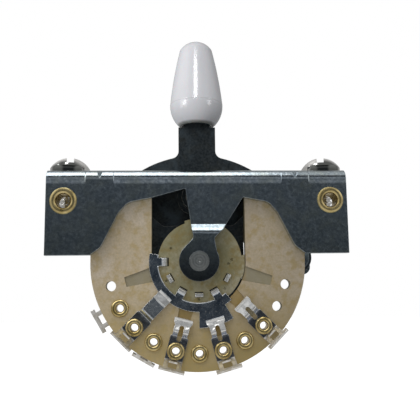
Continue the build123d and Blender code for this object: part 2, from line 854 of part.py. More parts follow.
def make_hook(side, coil_end, tip, radius):
    """One level end loop, from the coil's rear side round through the plate to the front."""
    centre = side * (tip - radius)
    path = Line((side * coil_end, radius), (centre, radius)) + ThreePointArc(
        (centre, radius), (side * tip, 0), (centre, -radius)
    )
    section = Plane(origin=path @ 0, z_dir=path % 0) * Circle(spring_wire / 2)
    return sweep(section, path)


def make_screw(side):
    dome = ThreePointArc(
        (screw_head_radius, screw_head_rim), (screw_dome_radius, screw_dome_z),
        (0, screw_head_height),
    )
    edge = Polyline(
        (0, screw_head_height), (0, -screw_length), (screw_radius - screw_point, -screw_length),
        (screw_radius, -screw_length + screw_point), (screw_radius, 0), (screw_head_radius, 0),
        (screw_head_radius, screw_head_rim),
    )
    body = revolve(Plane.XZ * make_face([dome, edge]), Axis.Z)
    slot = Pos(0, 0, screw_head_height) * Box(
        screw_slot_width, 3 * screw_head_radius, 2 * screw_slot_depth
    )
    return Pos(side * screw_spacing / 2, 0, 0) * (body - slot)


def write(node, solid):
    export_step(solid, f"parts/{node}.step")


os.makedirs("parts", exist_ok=True)
write("mounting_bracket", make_bracket())
write("left_wing_eyelet", make_wing_eyelet(-1))
write("right_wing_eyelet", make_wing_eyelet(1))
write("contact_wafer", make_wafer())
for index, lug_angle in enumerate(front_lug_angles):
    name = "front_common_lug" if index == 0 else f"front_lug_{index}"
    lug = make_lug(index == 0, front_solder_angles[index])
    write(name, lug_frame(lug_angle, True).location * lug)
for index, lug_angle in enumerate(rear_lug_angles):
    name = "rear_common_lug" if index == 0 else f"rear_lug_{index}"
    lug = make_lug(index == 0, rear_solder_angles[index])
    write(name, lug_frame(lug_angle, False).location * lug)
for index, lug_angle in enumerate(sorted(front_lug_angles + rear_lug_angles)):
    write(f"lug_eyelet_{index + 1}", make_lug_eyelet(lug_angle))
write("rotor", make_rotor())
write("front_contact_ring", make_front_ring())
write("rear_contact_ring", make_rear_ring())
write("drive_bushing", make_bushing())
write("pivot_stud", make_pivot_stud())
write("retaining_clip", make_clip())
write("lever_plate", make_lever())
write("lever_tip", make_tip())
write("index_arm", make_arm())
write("index_roller", make_roller())
write("roller_pin", make_roller_pin())
write("index_arm_stud", make_arm_stud())
write("index_arm_spacer", make_arm_spacer())
write("detent_spring", make_spring())
write("left_mounting_screw", make_screw(-1))
write("right_mounting_screw", make_screw(1))
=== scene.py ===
import json
import math

import bmesh
import bpy
from mathutils import Matrix, Vector


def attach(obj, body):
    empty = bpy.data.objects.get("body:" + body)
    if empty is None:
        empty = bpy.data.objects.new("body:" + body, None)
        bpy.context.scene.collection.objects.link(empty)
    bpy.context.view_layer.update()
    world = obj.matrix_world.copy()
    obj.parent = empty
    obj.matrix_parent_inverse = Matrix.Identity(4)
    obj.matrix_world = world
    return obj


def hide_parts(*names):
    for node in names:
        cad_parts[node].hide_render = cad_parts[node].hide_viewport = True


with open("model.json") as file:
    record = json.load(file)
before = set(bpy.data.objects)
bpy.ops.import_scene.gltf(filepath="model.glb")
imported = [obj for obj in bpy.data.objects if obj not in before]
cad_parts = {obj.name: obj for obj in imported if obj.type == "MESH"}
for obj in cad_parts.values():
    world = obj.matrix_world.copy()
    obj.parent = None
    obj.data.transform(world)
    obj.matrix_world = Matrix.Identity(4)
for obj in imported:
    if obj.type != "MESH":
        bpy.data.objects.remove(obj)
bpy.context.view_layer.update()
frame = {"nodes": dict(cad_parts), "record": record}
nodes = frame["nodes"]

MM = 0.001
TAU = 2 * math.pi

# Camera, fitted to the photograph: its place in millimetres, its turns in radians
IMAGE_SIDE = 420
FOCAL_PIXELS = 562.99
SENSOR_WIDTH = 36.0
CAMERA_PLACE = (-3.306, -91.048, -18.279)
CAMERA_YAW = 0.0590
CAMERA_PITCH = 0.1358
CAMERA_ROLL = -0.0127
CLIP_NEAR = 0.005
CLIP_FAR = 50


def make_camera():
    yaw, pitch, roll = CAMERA_YAW, CAMERA_PITCH, CAMERA_ROLL
    ahead = Vector((math.sin(yaw) * math.cos(pitch), math.cos(yaw) * math.cos(pitch), math.sin(pitch)))
    right = Vector((math.cos(yaw), -math.sin(yaw), 0))
    up = right.cross(ahead)
    rolled_right = right * math.cos(roll) + up * math.sin(roll)
    rolled_up = up * math.cos(roll) - right * math.sin(roll)
    data = bpy.data.cameras.new("camera")
    data.sensor_width = SENSOR_WIDTH
    data.lens = FOCAL_PIXELS / IMAGE_SIDE * SENSOR_WIDTH
    data.clip_start = CLIP_NEAR
    data.clip_end = CLIP_FAR
    camera = bpy.data.objects.new("camera", data)
    turn = Matrix((rolled_right, rolled_up, -ahead)).transposed()
    camera.matrix_world = Matrix.Translation(Vector(CAMERA_PLACE) * MM) @ turn.to_4x4()
    bpy.context.scene.collection.objects.link(camera)
    bpy.context.scene.camera = camera


# What the surroundings show a bright surface. Each stop is a height, from 0 straight down to 1
# straight up, and a colour: PANELS in front, SIDES to the left and right, REAR_LIGHT behind. The
# spans say how far to the side and to the rear one gives way to the next.
BACKGROUND = (1.0, 1.0, 1.0)
PANELS = [
    (0.00, (0.75, 0.75, 0.75)), (0.25, (0.60, 0.60, 0.60)), (0.40, (0.16, 0.16, 0.16)),
    (0.47, (0.045, 0.05, 0.055)), (0.515, (0.035, 0.04, 0.045)), (0.535, (0.075, 0.085, 0.09)),
    (0.575, (0.085, 0.095, 0.105)), (0.63, (0.12, 0.13, 0.145)), (0.675, (0.28, 0.29, 0.31)),
    (0.76, (0.40, 0.41, 0.43)), (0.785, (0.05, 0.055, 0.06)), (0.87, (0.06, 0.065, 0.07)),
    (0.91, (0.62, 0.62, 0.62)), (1.00, (0.70, 0.70, 0.70)),
]
SIDES = [
    (0.00, (0.70, 0.70, 0.70)), (0.42, (0.45, 0.45, 0.45)), (0.55, (0.40, 0.40, 0.40)),
    (0.62, (0.75, 0.75, 0.75)), (0.80, (1.10, 1.10, 1.10)), (1.00, (0.80, 0.80, 0.80)),
]
SIDE_SPAN = (0.40, 0.70)
REAR_SPAN = (-0.05, 0.45)
REAR_LIGHT = (0.42, 0.42, 0.42)
# Soft light on matte surfaces: its middle, how it grows along x, away from y = 0 and along z
SOFT_MIDDLE = 0.285
SOFT_ACROSS = -0.27
SOFT_DEPTH = 0.19
SOFT_UP = 0.10
SOFT_LOWEST = 0.1
BLACK = (0.0, 0.0, 0.0)
WHITE = (1.0, 1.0, 1.0)
# Name, place, target, width, height, radiance, matte share, glossy share, group that it lights
LIGHTS = [
    ("overhead_box", (-0.455, -0.155, 0.5), (-0.455, -0.155, 0), 1.09, 0.39, 2.4, 0.02, 1.0, "sheet"),
    ("strip_box", (-0.035, -0.42, 0.34), (0, 0, 0.016), 0.13, 0.20, 14.0, 0.0, 1.0, "tip"),
    ("tip_side_box", (-0.50, -0.30, 0.10), (0, 0, 0.016), 0.40, 0.40, 2.4, 1.0, 0.0, "tip"),
    ("low_left", (-0.293, -0.213, 0.05), (0, 0, 0.01), 0.09, 0.09, 9.0, 0.0, 1.0, "tip"),
    ("low_right", (0.293, -0.213, 0.05), (0, 0, 0.01), 0.09, 0.09, 5.0, 0.0, 1.0, "tip"),
    ("head_left", (-0.415, 0.11, 0.5), (0, 0, 0), 0.09, 0.07, 11.0, 0.0, 1.0, "screws"),
    ("head_top", (-0.12, 0.0, 0.5), (0, 0, 0), 0.12, 0.07, 20.0, 0.0, 1.0, "screws"),
]
LIGHT_GROUPS = ("sheet", "tip", "screws")
# Nodes that only the surroundings light
OUT_OF_THE_BOX = ("left_wing_eyelet", "right_wing_eyelet")
FLOOR_DROP = -0.16
FLOOR_RADIUS = 2.5
FLOOR_SIDES = 96
FLOOR_COLOUR = (0.9, 0.9, 0.9)
FLOOR_ROUGHNESS = 0.9
FLOOR_GLOW = 0.75


class Nodes:
    """Short ways to add and join the nodes of one tree."""

    def __init__(self, tree):
        self.tree = tree

    def add(self, kind, **values):
        node = self.tree.nodes.new(kind)
        for key, value in values.items():
            setattr(node, key, value)
        return node

    def join(self, source, target):
        self.tree.links.new(source, target)

    def feed(self, target, value):
        """Links a socket, or sets a plain value."""
        if isinstance(value, bpy.types.NodeSocket):
            self.join(value, target)
        elif isinstance(value, tuple) and len(value) == 3 and target.type == "RGBA":
            target.default_value = (*value, 1)
        else:
            target.default_value = value

    def levels(self, factor, low, high, out_low=0.0, out_high=1.0, smooth=False):
        """Takes low to high over to out_low to out_high, and no further."""
        node = self.add("ShaderNodeMapRange", interpolation_type="SMOOTHSTEP" if smooth else "LINEAR")
        self.join(factor, node.inputs["Value"])
        node.inputs["From Min"].default_value = low
        node.inputs["From Max"].default_value = high
        node.inputs["To Min"].default_value = out_low
        node.inputs["To Max"].default_value = out_high
        return node.outputs["Result"]

    def math(self, kind, first, second=0.0):
        node = self.add("ShaderNodeMath", operation=kind)
        self.feed(node.inputs[0], first)
        self.feed(node.inputs[1], second)
        return node.outputs[0]

    def mix(self, factor, first, second, blend="MIX"):
        node = self.add("ShaderNodeMix", data_type="RGBA", blend_type=blend)
        self.feed(node.inputs["Factor"], factor)
        self.feed(node.inputs["A"], first)
        self.feed(node.inputs["B"], second)
        return node.outputs["Result"]

    def parts(self, vector):
        """The X, Y and Z of a vector, by name."""
        node = self.add("ShaderNodeSeparateXYZ")
        self.join(vector, node.inputs[0])
        return node.outputs

    def ramp(self, factor, stops):
        node = self.add("ShaderNodeValToRGB")
        self.join(factor, node.inputs["Fac"])
        elements = node.color_ramp.elements
        while len(elements) > 1:
            elements.remove(elements[-1])
        elements[0].position = stops[0][0]
        elements[0].color = (*stops[0][1], 1)
        for place, colour in stops[1:]:
            elements.new(place).color = (*colour, 1)
        return node.outputs["Color"]


def area_light(name, place, target, width, height, radiance):
    """A soft box that faces its target; radiance is the brightness of its face."""
    data = bpy.data.lights.new(name, "AREA")
    data.shape = "RECTANGLE"
    data.size = width
    data.size_y = height
    data.energy = radiance * math.pi * width * height
    light = bpy.data.objects.new(name, data)
    way = Vector(target) - Vector(place)
    light.matrix_world = Matrix.Translation(place) @ way.to_track_quat("-Z", "Y").to_matrix().to_4x4()
    bpy.context.scene.collection.objects.link(light)
    return light


def make_world():
    """A white cyclorama: soft light for matte surfaces, light and dark panels for bright ones."""
    world = bpy.data.worlds.new("studio")
    world.use_nodes = True
    world.cycles.sampling_method = "NONE"
    bpy.context.scene.world = world
    world.node_tree.nodes.clear()
    w = Nodes(world.node_tree)
    way = w.parts(w.add("ShaderNodeTexCoord").outputs["Generated"])
    across = w.math("ABSOLUTE", way["X"])
    depth = w.math("ABSOLUTE", way["Y"])
    height = w.levels(way["Z"], -1, 1)

    side = w.levels(across, *SIDE_SPAN, smooth=True)
    bright = w.mix(side, w.ramp(height, PANELS), w.ramp(height, SIDES))
    bright = w.mix(w.levels(way["Y"], *REAR_SPAN, smooth=True), bright, REAR_LIGHT)

    soft = w.math("ADD", w.math("MULTIPLY", way["X"], SOFT_ACROSS), SOFT_MIDDLE)
    soft = w.math("ADD", w.math("MULTIPLY", depth, SOFT_DEPTH), soft)
    soft = w.math("ADD", w.math("MULTIPLY", way["Z"], SOFT_UP), soft)
    soft = w.math("MAXIMUM", soft, SOFT_LOWEST)
    matte = w.mix(soft, BLACK, WHITE)

    path = w.add("ShaderNodeLightPath").outputs
    light = w.mix(path["Is Diffuse Ray"], bright, matte)
    light = w.mix(path["Is Camera Ray"], light, BACKGROUND)
    shader = w.add("ShaderNodeBackground")
    w.join(light, shader.inputs["Color"])
    w.join(shader.outputs["Background"], w.add("ShaderNodeOutputWorld").inputs["Surface"])


def make_stage():
    """A pale floor well below the switch, which throws no light on it."""
    shape = bmesh.new()
    bmesh.ops.create_circle(shape, cap_ends=True, segments=FLOOR_SIDES, radius=FLOOR_RADIUS)
    mesh = bpy.data.meshes.new("floor")
    shape.to_mesh(mesh)
    shape.free()
    floor = bpy.data.objects.new("floor", mesh)
    floor.location = (0, 0, FLOOR_DROP)
    bpy.context.scene.collection.objects.link(floor)
    paint = bpy.data.materials.new("pale_floor")
    paint.use_nodes = True
    shader = paint.node_tree.nodes["Principled BSDF"]
    shader.inputs["Base Color"].default_value = (*FLOOR_COLOUR, 1)
    shader.inputs["Roughness"].default_value = FLOOR_ROUGHNESS
    shader.inputs["Emission Color"].default_value = (*WHITE, 1)
    shader.inputs["Emission Strength"].default_value = FLOOR_GLOW
    mesh.materials.append(paint)
    floor.visible_glossy = False
    floor.visible_diffuse = False


def make_lights():
    """Each box and lamp lights only its own group; returns the groups."""
    groups = {group: bpy.data.collections.new(group + "_receivers") for group in LIGHT_GROUPS}
    for name, node in nodes.items():
        if name not in OUT_OF_THE_BOX:
            groups["tip" if name == "lever_tip" else "sheet"].objects.link(node)
    for name, place, target, width, height, radiance, matte, glossy, group in LIGHTS:
        light = area_light(name, place, target, width, height, radiance)
        light.data.diffuse_factor = matte
        light.data.specular_factor = glossy
        light.light_linking.receiver_collection = groups[group]
    return groups


# Materials. Lengths and places are in millimetres. A noise is its scale per metre, detail,
# roughness and distortion. What ends in _FADE says between which two levels of a noise a colour
# comes in, and how much of it there is at each. What ends in _ROUGHNESS is a shader's roughness
# at the low and the high end of a noise, whose values mostly lie within NOISE_SPAN.
PIVOT_DROP = 14.4
NOISE_SPAN = (0.3, 0.7)
NOISE_SHIFT = (0.037, 0.011, 0.023)
BEVEL_SAMPLES = 6
FACING_SPAN = (0.6, 0.9)
SILVER = (0.92, 0.92, 0.90)
BRIGHT = (1.0, 1.0, 0.98)

# Plated steel, with the pivot disc and its painted shade, darker towards its foot, the plate's bend
# and the stud's turned rings
STEEL_GRAIN = (2600, 4, 0.65)
STEEL_CLOUD = (420, 5, 0.6, 0.4)
STEEL_PATCH = (90, 3, 0.5)
STEEL_BRUSH = (900, 4, 0.6)
STEEL_FLECK = (1300, 3, 0.6)
BRUSH_STRETCH = (6, 1, 0.25)
STEEL_GRAIN_FADE = (0.36, 0.62)
STEEL_WARM_FADE = (0.42, 0.72, 0, 0.7)
STEEL_PATCH_FADE = (0.40, 0.65, 0, 0.35)
STEEL_FLECK_FADE = (0.36, 0.62, 0.55, 0)
STEEL_ROUGHNESS = (0.13, 0.21)
STUD_ROUGHNESS = (0.34, 0.44)
STEEL_EDGE = 0.12
STUD_EDGE = 0.02
GRAIN_RELIEF = 0.012
BRUSH_RELIEF = 0.006
# The pivot disc: its size, and its painted shade, darker towards its foot between DISC_FOOT and
# DISC_HEAD
DISC_RADIUS = 3.1
DISC_RIM = 0.35
DISC_FOOT = -17.0
DISC_HEAD = -12.3
DISC_PAINTED_SHADE = (0.30, 0.82)
BEND_FOOT = -2.45
BEND_HEAD = -1.6
BEND_RELIEF = 0.06
DENT_X = 15.2
DENT_HALF_WIDTH = 2.1
DENT_SEAM = 0.12
TURNING_STEP = 0.42
TURNING_WANDER = 0.35
TURNING_RELIEF = 0.008
TURNING_SHADES = (0.86, 1.10)

# Brass
BRASS_GRAIN = (1900, 3, 0.6)
BRASS_STAIN = (500, 4, 0.6, 0.5)
BRASS_LIGHT = (0.68, 0.55, 0.27)
BRASS_DARK = (0.40, 0.30, 0.11)
BRASS_STAIN_FADE = (0.42, 0.7)
BRASS_ROUGHNESS = (0.22, 0.36)
BRASS_RELIEF = 0.006

# Board: the wafer grows ochre towards its foot, and painted shade darkens it towards +X
BOARD_SPECK = (3200, 3, 0.7)
BOARD_FLECK = (900, 4, 0.6)
BOARD_PATCH = (150, 4, 0.55, 0.8)
BOARD_PATCH_FADE = (0.42, 0.62)
BOARD_FLECK_FADE = (0.46, 0.64, 0, 0.7)
BOARD_LOW_FADE = (0.3, 0.6, 0.7, 1.0)
BOARD_SPECK_FADE = (0.35, 0.65, 0, 0.35)
BOARD_ROUGHNESS = (0.48, 0.66)
BOARD_RELIEF = 0.02
BOARD_EDGE = 0.08
LOW_SPAN = (-27.5, -16.5)
# Painted shade on the wafer: where it darkens towards +X, and how dark
SHADE_SPAN = (-2.0, 14.0)
SIDE_PAINTED_SHADE = (0.72, 0.72, 0.71)
POCKET_FACE = -3.93
POCKET_DEPTH = 0.2
POCKET_SOFT = 0.05
POCKET_SIDES = (6.5, 7.5)
POCKET_OCHRE = (0.42, 0.29, 0.09)
POCKET_OLIVE = (0.33, 0.30, 0.20)
POCKET_SHARE = 0.8

# Silver plate on the clips and rings
SILVER_CLOUD = (700, 5, 0.62, 0.7)
SILVER_SCRATCH = (900, 3, 0.7)
SILVER_SPECK = (3800, 2, 0.7)
SILVER_CRUMPLE = (600, 1, 0.5, 0.6)
SCRATCH_STRETCH = (1, 1, 0.12)
SILVER_CLOUD_FADE = (0.35, 0.7)
SILVER_SCRATCH_FADE = (0.60, 0.68, 0, 0.45)
SILVER_SPECK_FADE = (0.58, 0.66, 0, 0.9)
SILVER_WEAR_FADE = (0.005, 0.06)
SILVER_ROUGHNESS = (0.16, 0.28)
SILVER_RELIEF = 0.01
SILVER_EDGE = 0.07
SILVER_WEAR = 0.14
HEAD_WITHIN = 11.4
COMMON_HEAD_WITHIN = 8.7
HEAD_RIM_WIDTH = 0.3
HEAD_METAL = 0.62
CRUMPLE = 0.30
BASE_FROM = 11.8
BASE_RIM = 0.3
BASE_SHADE = 0.45
TINNED_FROM = 15.1
TINNED_RIM = 0.2
TIN_PALE = (0.82, 0.80, 0.76)
TIN_DULL = (0.62, 0.58, 0.50)
TIN_FADE = (0.45, 0.6)
TIN_ROUGHER = 0.18
TABS_WITHIN = 5.7
RING_INSIDE = 6.25
RING_LINE = (0.06, 0.14)
RING_DARK = (0.24, 0.30, 0.38)
RING_LIGHT = (0.42, 0.48, 0.55)
TAB_SIDES = (0.62, 0.72)
FRONT_TABS = (-90, -30, 28)
REAR_TABS = (-60, 0, 60)

# Black oxide, whose light bare edges are wear and painted highlight both
OXIDE_GRAIN = (2800, 4, 0.7)
OXIDE_CLOUD = (500, 5, 0.6, 0.5)
OXIDE_MOTTLE = (330, 3, 0.55, 0.6)
OXIDE_BLACK = (0.030, 0.039, 0.045)
OXIDE_GREY = (0.088, 0.104, 0.110)
OXIDE_WARM = (0.085, 0.082, 0.060)
OXIDE_BLUE = (0.105, 0.135, 0.155)
OXIDE_BARE_AND_HIGHLIGHT = (0.52, 0.51, 0.46)
OXIDE_GRAIN_FADE = (0.38, 0.7)
OXIDE_WARM_FADE = (0.5, 0.75, 0, 0.4)
OXIDE_BLUE_FADE = (0.50, 0.66, 0, 0.65)
OXIDE_WEAR_AND_HIGHLIGHT_FADE = (0.03, 0.16)
OXIDE_WEAR_AND_HIGHLIGHT_SHARE = 0.9
OXIDE_ROUGHNESS = (0.34, 0.50)
OXIDE_METAL = (0.75, 0.25)
OXIDE_RELIEF = 0.02
OXIDE_EDGE = 0.1

# White plastic
PLASTIC_DRIFT = (120, 3, 0.5)
PLASTIC_FINE = (2400, 2, 0.5)
PLASTIC_SHADES = ((0.545, 0.548, 0.575), (0.58, 0.583, 0.61))
PLASTIC_FADE = (0.35, 0.65)
PLASTIC_ROUGHNESS = (0.13, 0.18)
PLASTIC_RELIEF = 0.0004
PLASTIC_EDGE = 0.5
SEAM_Z = 11.75
SEAM_SPAN = (0.02, 0.10)
SEAM_SHADE_COLOUR = (0.42, 0.42, 0.44)
SEAM_SHARE = 0.6
SEAM_RELIEF = 0.03
MOUTH_Z = 8.35
MOUTH_RIM = 0.25
MOUTH_SHADE_COLOUR = (0.10, 0.105, 0.085)
MOUTH_SHARE = 0.75

# Nickel, and the screws with their dull domes; painted light and shade on the heads: the dome lighter
# than the rim, the front dark
NICKEL_GRAIN = (1500, 4, 0.6)
NICKEL_SCRATCH = (60, 5, 0.7)
NICKEL_STRETCH = (6, 60, 60)
NICKEL_LIGHT = (0.78, 0.76, 0.72)
NICKEL_DARK = (0.60, 0.585, 0.55)
NICKEL_FADE = (0.4, 0.7)
NICKEL_SCRATCH_SPAN = (0.35, 0.7)
NICKEL_ROUGHNESS = (0.09, 0.2)
NICKEL_RELIEF = 0.005
NICKEL_EDGE = 0.1
SCREW_GRAIN = (1800, 4, 0.6)
SCREW_STAIN = (350, 4, 0.6, 0.4)
SCREW_LIGHT = (0.96, 0.945, 0.915)
SCREW_DARK = (0.84, 0.82, 0.79)
SCREW_RIM_PAINTED_SHADE = (0.72, 0.71, 0.68)
SCREW_FRONT_PAINTED_SHADE = (0.06, 0.065, 0.06)
SCREW_STAIN_FADE = (0.4, 0.7)
SCREW_UNEVEN = (0, 0.08)
DOME_ROUGHNESS = (0.10, 0.36)
FRONT_SMOOTHING = (1, 0.4)
SCREW_RELIEF = 0.008
SCREW_EDGE = 0.08
DOME_DULL = (0.9, 1.5)
# Painted shade on the head: where its surface faces front, by the Y of its normal, and how dark it is
# there
HEAD_FRONT_PAINTED_SHADE = (-0.72, -0.50, 0.92, 0)
HEAD_FOOT = 0.1


class Graph(Nodes):
    """A Principled material and its own patterns."""

    def __init__(self, name):
        self.material = bpy.data.materials.new(name)
        self.material.use_nodes = True
        super().__init__(self.material.node_tree)
        self.shader = self.tree.nodes["Principled BSDF"]
        self.place = self.add("ShaderNodeTexCoord").outputs["Object"]

    def noise(self, scale, detail, roughness, distortion=0.0, stretch=None, seed=0):
        place = self.place
        if stretch or seed:
            shift = self.add("ShaderNodeMapping")
            self.join(place, shift.inputs["Vector"])
            shift.inputs["Scale"].default_value = stretch or (1, 1, 1)
            shift.inputs["Location"].default_value = [step * seed for step in NOISE_SHIFT]
            place = shift.outputs["Vector"]
        node = self.add("ShaderNodeTexNoise")
        self.join(place, node.inputs["Vector"])
        node.inputs["Scale"].default_value = scale
        node.inputs["Detail"].default_value = detail
        node.inputs["Roughness"].default_value = roughness
        node.inputs["Distortion"].default_value = distortion
        return node.outputs["Fac"]

    def grey(self, value):
        node = self.add("ShaderNodeCombineColor")
        for channel in ("Red", "Green", "Blue"):
            self.feed(node.inputs[channel], value)
        return node.outputs["Color"]

    def axis(self, name):
        return self.parts(self.place)[name]

    def true_normal(self):
        return self.add("ShaderNodeNewGeometry").outputs["True Normal"]

    def facing_front(self):
        """1 where the surface faces straight front or rear, 0 on cut edges."""
        return self.levels(self.math("ABSOLUTE", self.parts(self.true_normal())["Y"]), *FACING_SPAN)

    def edge_wear_and_highlight(self, radius, low, high):
        """1 along sharp edges, 0 on flat faces."""
        node = self.add("ShaderNodeVectorMath", operation="DOT_PRODUCT")
        self.join(self.round_edges(radius), node.inputs[0])
        self.join(self.true_normal(), node.inputs[1])
        turn = self.math("SUBTRACT", 1.0, node.outputs["Value"])
        return self.levels(turn, low, high)

    def above_pivot(self):
        """Height over the pivot, in metres."""
        return self.math("ADD", self.axis("Z"), PIVOT_DROP * MM)

    def away_from_pivot(self):
        """Distance from the pivot's axis, in metres."""
        height = self.above_pivot()
        width = self.axis("X")
        square = self.math("MULTIPLY", height, height)
        square = self.math("ADD", square, self.math("MULTIPLY", width, width))
        return self.math("SQRT", square)

    def within(self, radius, rim):
        """1 nearer to the pivot's axis than the radius, 0 beyond its rim."""
        return self.levels(self.away_from_pivot(), radius * MM, (radius + rim) * MM, 1, 0)

    def off_line(self, angle, low, high):
        """0 on the line from the pivot at an angle from straight down, 1 away from it."""
        turn = math.radians(angle)
        across = self.math("MULTIPLY", self.axis("X"), math.cos(turn))
        across = self.math("ADD", across, self.math("MULTIPLY", self.above_pivot(), math.sin(turn)))
        return self.levels(self.math("ABSOLUTE", across), low * MM, high * MM)

    def bump(self, height, depth, strength, normal=None):
        node = self.add("ShaderNodeBump")
        node.inputs["Strength"].default_value = strength
        node.inputs["Distance"].default_value = depth
        self.join(height, node.inputs["Height"])
        if normal is not None:
            self.join(normal, node.inputs["Normal"])
        return node.outputs["Normal"]

    def round_edges(self, radius):
        node = self.add("ShaderNodeBevel", samples=BEVEL_SAMPLES)
        node.inputs["Radius"].default_value = radius
        return node.outputs["Normal"]

    def finish(self, colour, roughness, normal, metallic=0.0, **others):
        self.feed(self.shader.inputs["Base Color"], colour)
        self.feed(self.shader.inputs["Roughness"], roughness)
        self.feed(self.shader.inputs["Metallic"], metallic)
        self.join(normal, self.shader.inputs["Normal"])
        for key, value in others.items():
            self.shader.inputs[key.replace("_", " ")].default_value = value
        return self.material


def plated_steel(name, dark, light, warm, roughness=STEEL_ROUGHNESS, edge=STEEL_EDGE, seed=0,
                 bend=False, turned=False):
    """Plated steel with a mottled grain, for the sheet with its bend and the pivot disc's painted
    shade, or a turned stud.
    """
    g = Graph(name)
    grain = g.noise(*STEEL_GRAIN, seed=seed)
    cloud = g.noise(*STEEL_CLOUD, seed=seed + 1)
    patch = g.noise(*STEEL_PATCH, seed=seed + 2)
    brush = g.noise(*STEEL_BRUSH, stretch=BRUSH_STRETCH, seed=seed + 3)
    fleck = g.noise(*STEEL_FLECK, seed=seed + 4)
    colour = g.mix(g.levels(grain, *STEEL_GRAIN_FADE), dark, light)
    colour = g.mix(g.levels(cloud, *STEEL_WARM_FADE), colour, warm)
    colour = g.mix(g.levels(patch, *STEEL_PATCH_FADE), colour, light)
    colour = g.mix(g.levels(fleck, *STEEL_FLECK_FADE), colour, dark)
    if bend:
        # Painted shade: the pivot disc darker towards its foot
        disc = g.within(DISC_RADIUS, DISC_RIM)
        painted_disc_shade = g.levels(g.axis("Z"), DISC_FOOT * MM, DISC_HEAD * MM, *DISC_PAINTED_SHADE)
        colour = g.mix(disc, colour, g.mix(1.0, colour, g.grey(painted_disc_shade), "MULTIPLY"))
    rough = g.levels(cloud, *NOISE_SPAN, *roughness)
    height = g.math("MULTIPLY", grain, GRAIN_RELIEF * MM)
    height = g.math("ADD", height, g.math("MULTIPLY", brush, BRUSH_RELIEF * MM))
    if turned:
        reach = g.math("ADD", g.away_from_pivot(), g.math("MULTIPLY", cloud, TURNING_WANDER * MM))
        wave = g.math("SINE", g.math("MULTIPLY", reach, TAU / (TURNING_STEP * MM)))
        colour = g.mix(1.0, colour, g.grey(g.levels(wave, -1, 1, *TURNING_SHADES)), "MULTIPLY")
        height = g.math("ADD", height, g.math("MULTIPLY", wave, TURNING_RELIEF * MM))
    if bend:
        height = g.math("ADD", height, bend_relief(g))
    normal = g.bump(height, depth=1.0, strength=1.0, normal=g.round_edges(edge * MM))
    return g.finish(colour, rough, normal, 1.0)


def bend_relief(g):
    """The front plate leans back a little just under its bend, but not beside the two dents."""
    lean = g.levels(g.axis("Z"), BEND_FOOT * MM, BEND_HEAD * MM, 0, -BEND_RELIEF * MM, smooth=True)
    off = g.math("ABSOLUTE", g.math("SUBTRACT", g.math("ABSOLUTE", g.axis("X")), DENT_X * MM))
    away = g.levels(off, DENT_HALF_WIDTH * MM, (DENT_HALF_WIDTH + DENT_SEAM) * MM)
    return g.math("MULTIPLY", lean, away)


def brass(name):
    g = Graph(name)
    grain = g.noise(*BRASS_GRAIN)
    stain = g.noise(*BRASS_STAIN)
    colour = g.mix(g.levels(stain, *BRASS_STAIN_FADE), BRASS_LIGHT, BRASS_DARK)
    rough = g.levels(grain, *NOISE_SPAN, *BRASS_ROUGHNESS)
    return g.finish(colour, rough, g.bump(grain, BRASS_RELIEF * MM, strength=0.5), 1.0)


def board(name, base, pale, ochre, olive_specks_and_edge_shade, pockets=False, low=None, seed=0):
    """Resin-bonded paper board: mottled faces, cut edges darkened olive by painted shade, and darker
    shallow pockets.
    """
    g = Graph(name)
    speck = g.noise(*BOARD_SPECK, seed=seed)
    fleck = g.noise(*BOARD_FLECK, seed=seed + 1)
    patch = g.noise(*BOARD_PATCH, seed=seed + 2)
    colour = g.mix(g.levels(patch, *BOARD_PATCH_FADE), base, pale)
    colour = g.mix(g.levels(fleck, *BOARD_FLECK_FADE), colour, ochre)
    if low is not None:
        deep = g.levels(g.axis("Z"), LOW_SPAN[0] * MM, LOW_SPAN[1] * MM, 1, 0)
        deep = g.math("MULTIPLY", deep, g.levels(patch, *BOARD_LOW_FADE))
        colour = g.mix(deep, colour, low)
    colour = g.mix(g.levels(speck, *BOARD_SPECK_FADE), colour, olive_specks_and_edge_shade)
    # Painted shade: the cut edges take the olive colour
    colour = g.mix(g.facing_front(), olive_specks_and_edge_shade, colour)
    if low is not None:
        # Painted shade: the wafer darker towards +X
        shade = g.levels(g.axis("X"), SHADE_SPAN[0] * MM, SHADE_SPAN[1] * MM)
        colour = g.mix(shade, colour, SIDE_PAINTED_SHADE, "MULTIPLY")
    if pockets:
        depth = g.axis("Y")
        floor = POCKET_FACE + POCKET_DEPTH
        sunk = g.math(
            "MULTIPLY", g.levels(depth, POCKET_FACE * MM, (POCKET_FACE + POCKET_SOFT) * MM),
            g.levels(depth, floor * MM, (floor + POCKET_SOFT) * MM, 1, 0),
        )
        side = g.levels(g.math("ABSOLUTE", g.axis("X")), POCKET_SIDES[0] * MM, POCKET_SIDES[1] * MM)
        sunk = g.math("MULTIPLY", sunk, POCKET_SHARE)
        colour = g.mix(sunk, colour, g.mix(side, POCKET_OCHRE, POCKET_OLIVE))
    rough = g.levels(fleck, *NOISE_SPAN, *BOARD_ROUGHNESS)
    normal = g.bump(speck, BOARD_RELIEF * MM, strength=0.5, normal=g.round_edges(BOARD_EDGE * MM))
    return g.finish(colour, rough, normal)


